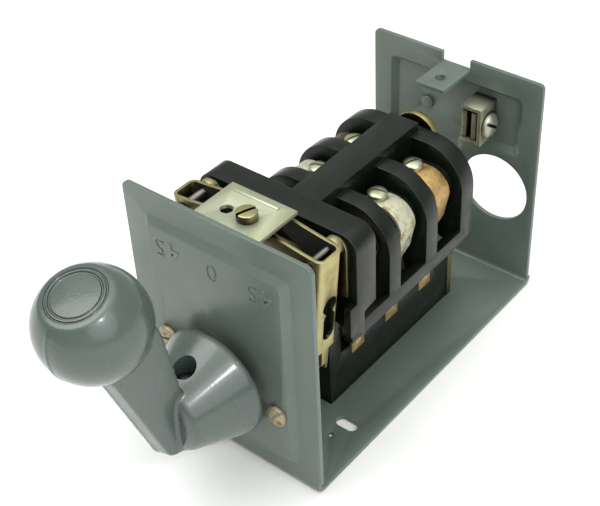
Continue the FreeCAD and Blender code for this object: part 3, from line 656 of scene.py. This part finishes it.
def ball_mesh():
    """Ball turned about the tilted cap's axis, with the cap's flat and its edge."""
    tilt = math.radians(CAP_TILT)
    axis = Vector((0, -math.sin(tilt), math.cos(tilt)))
    start = math.asin(CAP_RADIUS / BALL_RADIUS)
    profile = [(0, CAP_CROWN)]
    for share in (0.2, 0.4, 0.6, 0.8):
        profile.append((CAP_RADIUS * share, cap_height(CAP_RADIUS * share)))
    steps = 40
    for step in range(steps):
        angle = start + (math.pi - start) * step / steps
        profile.append((BALL_RADIUS * math.sin(angle), BALL_RADIUS * math.cos(angle)))
    profile.append((0, -BALL_RADIUS))
    return lathe(profile, BALL_CENTRE, axis, 72), axis


def hub_mesh():
    """Cone of the hub, with a rounded rim at its back and a rounded, slightly crowned front."""
    length = HUB_BACK - HUB_FRONT
    profile = [(0, 0), (HUB_BACK_RADIUS - 0.7, 0), (HUB_BACK_RADIUS - 0.15, 0.3), (HUB_BACK_RADIUS, 0.9),
               (HUB_BACK_RADIUS - 0.25, 2.4), (HUB_FRONT_RADIUS + 0.72, length - HUB_ROUND),
               (HUB_FRONT_RADIUS - 0.3, length - 0.7), (HUB_FRONT_RADIUS - 2.6, length), (0, length + 0.8)]
    return lathe(profile, Vector((0, FRONT + HUB_BACK, SHAFT_Z)), (0, -1, 0), 96)


def cast_together(piece):
    """Runs the hub, arm and ball into one skin with soft inner corners, as a casting has."""
    remesh = piece.modifiers.new("cast", "REMESH")
    remesh.mode = "VOXEL"
    remesh.voxel_size = CAST_VOXEL * MM
    soften = piece.modifiers.new("soften", "SMOOTH")
    soften.factor = 0.5
    soften.iterations = 6
    applied(piece)


def set_screw_hole():
    """Tool for the radial hole in the hub, from above the hub down to its floor."""
    above = 12.5
    top = 26
    floor = -SET_SCREW_FLOOR - top
    profile = [(0, above), (SET_SCREW_HOLE, above), (SET_SCREW_HOLE, floor), (0, floor)]
    return lathe(profile, Vector((0, FRONT + SET_SCREW_Y, SHAFT_Z + top)), UP, 48)


def handle_piece(material):
    ball, cap_axis = ball_mesh()
    piece = joined("handle_casting", [hub_mesh(), arm_mesh(), ball])
    cast_together(piece)
    parting_line(piece.data, cap_axis)
    for radius in CAP_RINGS:
        centre = BALL_CENTRE + cap_axis * cap_height(radius)
        cut(piece, add_object("ring", ring_mesh(centre, cap_axis, radius, CAP_RING_DEPTH)))
    cut(piece, add_object("hole", set_screw_hole()))
    smooth_shading(piece, 38)
    return dress(piece, material, "grey_paint", "rotor", "handle")


def parting_line(mesh, cap_axis):
    """Low flash line where the two halves of the mould met, along X = 0 of the arm and ball."""
    half = PARTING_HALF * MM
    height = PARTING_HEIGHT * MM
    lowest = (SHAFT_Z + PARTING_LOWEST) * MM
    rearmost = (FRONT + PARTING_REAR) * MM
    for vert in mesh.vertices:
        facing = vert.normal.y < -0.25 and vert.normal.dot(cap_axis) < 0.8
        near = abs(vert.co.x) < 3 * half and vert.co.y < rearmost and vert.co.z > lowest
        if facing and near:
            vert.co += vert.normal * height * math.exp(-(vert.co.x / half) ** 2)


def ring_mesh(centre, axis, major, minor, segments=96, sides=12):
    """Round ring that cuts a turned groove."""
    bm = bmesh.new()
    loops = []
    for step in range(segments):
        turn = 2 * math.pi * step / segments
        loop = []
        for side in range(sides):
            angle = 2 * math.pi * side / sides
            radius = major + minor * math.cos(angle)
            height = minor * math.sin(angle)
            loop.append(bm.verts.new((radius * math.cos(turn), radius * math.sin(turn), height)))
        loops.append(loop)
    for step in range(segments):
        after = (step + 1) % segments
        for side in range(sides):
            beside = (side + 1) % sides
            bm.faces.new((loops[step][side], loops[after][side], loops[after][beside], loops[step][beside]))
    bmesh.ops.recalc_face_normals(bm, faces=bm.faces)
    placed(bm, centre, axis)
    return finished_mesh(bm, "ring")


def tube(name, points, radius):
    """Round wire through points given in mm."""
    curve = bpy.data.curves.new(name, "CURVE")
    curve.dimensions = "3D"
    curve.bevel_depth = radius * MM
    curve.bevel_resolution = 4
    curve.use_fill_caps = True
    spline = curve.splines.new("POLY")
    spline.points.add(len(points) - 1)
    for point, place in zip(spline.points, points):
        point.co = (*[value * MM for value in place], 1.0)
    return curve_mesh(name, curve)


def coil_points(centre, radius):
    """Helix along X, close-wound about its centre."""
    count = SPRING_TURNS * SPRING_STEPS
    points = []
    for step in range(count + 1):
        angle = 2 * math.pi * step / SPRING_STEPS
        x = -SPRING_HALF + 2 * SPRING_HALF * step / count
        points.append((x, centre.y + radius * math.sin(angle), centre.z + radius * math.cos(angle)))
    return points


def hook_points(centre, radius, tip):
    """Half turn of wire at the right-hand end, from the coil's top round to its underside."""
    points = []
    for step in range(HOOK_STEPS + 1):
        angle = math.pi * step / HOOK_STEPS
        x = tip - radius - SPRING_WIRE + radius * math.sin(angle)
        points.append((x, centre.y, centre.z + radius * math.cos(angle)))
    return points


def spring_piece(material):
    """Close-wound extension spring across the levers, with a hook at each end."""
    low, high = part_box("detent_spring")
    inset = 0.02
    radius = (high.z - low.z) / MM / 2 - SPRING_WIRE - inset
    middle = (low + high) / 2 / MM
    right = hook_points(middle, radius, high.x / MM)
    left = [(-x, y, z) for x, y, z in reversed(right)]
    route = left + coil_points(middle, radius) + right
    piece = joined("detent_spring_coil", [tube("coil", route, SPRING_WIRE)])
    smooth_shading(piece, 60)
    return dress(piece, material, "steel", "frame", "detent_spring")


def recoat(piece, material, chosen):
    """Gives the faces that chosen(polygon) picks a second material."""
    piece.data.materials.append(material)
    for polygon in piece.data.polygons:
        if chosen(polygon):
            polygon.material_index = 1


def blacken_inside(piece, material, reach):
    """Faces that look across a channel at the same piece get a near-black material: painted shade inside
    the channel.
    """
    bm = bmesh.new()
    bm.from_mesh(piece.data)
    tree = BVHTree.FromBMesh(bm)
    bm.free()
    clearance = 0.05

    def faces_itself(polygon):
        start = polygon.center + polygon.normal * clearance * MM
        return tree.ray_cast(start, polygon.normal, reach * MM)[0] is not None

    recoat(piece, material, faces_itself)


def plate_collars(piece, material):
    """The collars behind the levers are plated like the plate they lean on."""
    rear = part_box("detent_lever_right")[1].y - 0.1 * MM
    recoat(piece, material, lambda polygon: polygon.center.y > rear)


def recoat_rear_saddle(piece, material):
    """The rear terminal's strap gets the given material, bare bronze on the right and near-black bronze as
    painted shade on the left, and the other one is tinned.
    """
    middle = sum(vert.co.y for vert in piece.data.vertices) / len(piece.data.vertices)
    recoat(piece, material, lambda polygon: polygon.center.y > middle)


def numeral_mesh(text):
    curve = bpy.data.curves.new("number", "FONT")
    curve.body = text
    curve.size = NUMERAL_SIZE * MM
    curve.space_character = NUMERAL_SPACING
    curve.extrude = NUMERAL_DEPTH * MM
    curve.offset = NUMERAL_WEIGHT * MM
    curve.resolution_u = 4
    curve.align_x = "CENTER"
    curve.align_y = "CENTER"
    return curve_mesh("number", curve)


def engrave_numerals(piece):
    """The handle's positions in degrees, stamped into the front panel, upright when read from above."""
    turn = Matrix.Rotation(math.pi / 2, 4, "X") @ Matrix.Rotation(math.pi, 4, "Z")
    for text, x in (("45", NUMERAL_X), ("0", 0.0), ("45", -NUMERAL_X)):
        mesh = numeral_mesh(text)
        mesh.transform(Matrix.Translation(Vector((x, FRONT - PANEL_DEPTH, NUMERAL_Z)) * MM) @ turn)
        cut(piece, add_object("number", mesh))
    smooth_shading(piece)


# ---------------------------------------------------------------- scene

def camera():
    data = bpy.data.cameras.new("camera")
    data.lens = CAMERA_LENS
    data.sensor_width = CAMERA_SENSOR
    data.clip_start = 0.01
    holder = add_object("camera", data)
    azimuth = math.radians(CAMERA_AZIMUTH)
    elevation = math.radians(CAMERA_ELEVATION)
    roll = math.radians(CAMERA_ROLL)
    right = Vector((math.cos(azimuth), math.sin(azimuth), 0))
    back = Vector((math.sin(azimuth) * math.cos(elevation), -math.cos(azimuth) * math.cos(elevation),
                   math.sin(elevation)))
    up = back.cross(right)
    turned_right = math.cos(roll) * right + math.sin(roll) * up
    turned_up = math.cos(roll) * up - math.sin(roll) * right
    rotation = Matrix((turned_right, turned_up, back)).transposed().to_4x4()
    holder.matrix_world = Matrix.Translation(Vector(CAMERA_PLACE) * MM) @ rotation
    bpy.context.scene.camera = holder


def area_light(name, place, size, power):
    """Round soft light aimed at the object, placed and sized in metres."""
    data = bpy.data.lights.new(name, "AREA")
    data.shape = "DISK"
    data.size = size
    data.energy = power
    light = add_object(name, data)
    aim = Vector(LIGHT_TARGET) - Vector(place)
    light.matrix_world = Matrix.Translation(place) @ aim.to_track_quat("-Z", "Y").to_matrix().to_4x4()


def sky():
    """Soft surroundings, brighter overhead."""
    world = bpy.data.worlds.new("studio")
    bpy.context.scene.world = world
    world.use_nodes = True
    tree = world.node_tree
    place = tree.nodes.new("ShaderNodeTexCoord")
    parts = tree.nodes.new("ShaderNodeSeparateXYZ")
    tree.links.new(place.outputs["Generated"], parts.inputs["Vector"])
    tone = ramp(tree, parts.outputs["Z"], [(0.0, (0.205, 0.212, 0.201)), (0.6, (0.215, 0.222, 0.211)),
                                           (0.82, (0.49, 0.505, 0.48)), (1.0, (0.96, 0.99, 0.94))])
    background = tree.nodes["Background"]
    tree.links.new(tone, background.inputs["Color"])
    background.inputs["Strength"].default_value = SKY_STRENGTH


def pale_floor():
    low = (-FLOOR_HALF, -FLOOR_HALF, FLOOR_UNDERSIDE)
    high = (FLOOR_HALF, FLOOR_HALF, FLOOR_TOP)
    floor = add_object("floor", block(low, high, "floor"))
    material, tree, shader = new_material("floor_white", 0.0, 0.7)
    tone = ramp(tree, noise(tree, 6, 2), [(0.3, grey(0.81)), (0.7, grey(0.83))])
    tree.links.new(tone, shader.inputs["Base Color"])
    floor.data.materials.append(material)


def studio():
    sky()
    area_light("key", (-0.8, -0.6, 2.0), size=1.6, power=19.0)
    area_light("right", (1.5, -0.5, 1.2), size=2.0, power=15.0)
    area_light("side", (0.70, -0.27, 0.87), size=0.12, power=2.6)
    pale_floor()
    bpy.context.scene.view_settings.view_transform = "Standard"


def all_materials():
    return {"paint": paint_material(), "cast": cast_material(), "phenolic": phenolic_material(),
            "yellow": yellow_zinc_material(), "clear": clear_zinc_material(),
            "screw_zinc": screw_zinc_material(), "steel": steel_material(), "tin": tin_material(),
            "bronze": bronze_material(), "dull_tin": lug_material(), "brass": brass_material(),
            "copper": copper_material(), "dark": socket_material(), "channel_shade": channel_shade_material(),
            "worn": worn_screw_material(), "shaded_bronze": shaded_bronze_material()}


def build_body(look):
    """Frame, handle, mouldings and the plates that hold them."""
    engrave_numerals(refined("mounting_frame", look["paint"], "grey_paint", 0.3))
    handle_piece(look["cast"])
    refined("handle_set_screw", look["dark"], "steel", 0.2)
    refined("contact_block", look["phenolic"], "black_moulding", 0.8, 3)
    refined("drum_cradle", look["phenolic"], "black_moulding", 0.6)
    refined("drum_core", look["phenolic"], "black_moulding", 0.4)
    refined("mechanism_bracket", look["clear"], "clear_zinc", 0.25)
    refined("pivot_plate", look["yellow"], "yellow_zinc", 0.2)
    refined("end_plate", look["yellow"], "yellow_zinc", 0.2)


def build_side(look, side, rear_strap):
    """Lever, roller and terminals of one side."""
    lever = refined("detent_lever_" + side, look["yellow"], "yellow_zinc", 0.2)
    # painted shade: the inside of the lever's channel is made near black
    blacken_inside(lever, look["channel_shade"], reach=11.0)
    refined("contact_fingers_" + side, look["brass"], "copper", 0.12)
    saddles = refined("terminal_saddles_" + side, look["tin"], "tin_plate", 0.3)
    recoat_rear_saddle(saddles, rear_strap)
    refined("roller_pin_" + side, look["steel"], "steel", 0.2)
    refined("detent_roller_" + side, look["steel"], "steel", 0.3)
    screw_group("terminal_screws_" + side, "terminal_screw_set_" + side, (0, 0, 1), height=2.8, slot=0.9,
                turns=(20, 65, 110), material=look["screw_zinc"], slot_name="yellow_zinc", dome=0.5)


def build_screws(look):
    """Slotted screws of the front, the cover post and the ground lug."""
    screw_group("front_screws", "front_screw_pair", (0, -1, 0), height=2.4, slot=1.0, turns=(15, 60),
                material=look["worn"], slot_name="yellow_zinc", dome=0.6, shank=2.0)
    screw_group("cover_post_screw", "cover_post_screw_finished", (0, 0, 1), height=3.2, slot=1.1,
                turns=(68,), material=look["yellow"], slot_name="yellow_zinc", dome=0.12, shank=1.8)
    screw_group("lug_screw", "lug_screw_finished", (1, 0, 0), height=3.2, slot=1.2, turns=(55,),
                material=look["dull_tin"], slot_name="tin_plate", dome=0.85, shank=2.4)


def build_hardware(look):
    """Lug, pins, shaft and the small fixings."""
    refined("ground_lug", look["dull_tin"], "tin_plate", 0.25)
    refined("lug_jaw", look["dull_tin"], "tin_plate", 0.15)
    refined("rear_rivet", look["paint"], "grey_paint", 0.35, 3)
    plate_collars(refined("lever_pins", look["steel"], "steel", 0.25), look["yellow"])
    refined("star_wheel", look["steel"], "steel", 0.25)
    refined("operating_shaft", look["steel"], "steel", 0.3)
    refined("shaft_clip", look["steel"], "steel", 0.15)
    refined("front_bush", look["bronze"], "bronze", 0.2)
    refined("front_spacers", look["steel"], "steel", 0.2)
    refined("pivot_plate_screws", look["yellow"], "yellow_zinc", 0.2)
    refined("cradle_screws", look["steel"], "steel", 0.2)
    refined("end_plate_screw", look["yellow"], "yellow_zinc", 0.2)
    refined("base_rivets", look["steel"], "steel", 0.3)
    refined("drum_segments", look["copper"], "copper", 0.25)
    spring_piece(look["steel"])


def build():
    look = all_materials()
    build_body(look)
    build_side(look, "right", rear_strap=look["bronze"])
    # the left rear strap gets the near-black bronze as painted shade
    build_side(look, "left", rear_strap=look["shaded_bronze"])
    build_screws(look)
    build_hardware(look)


camera()
build()
studio()
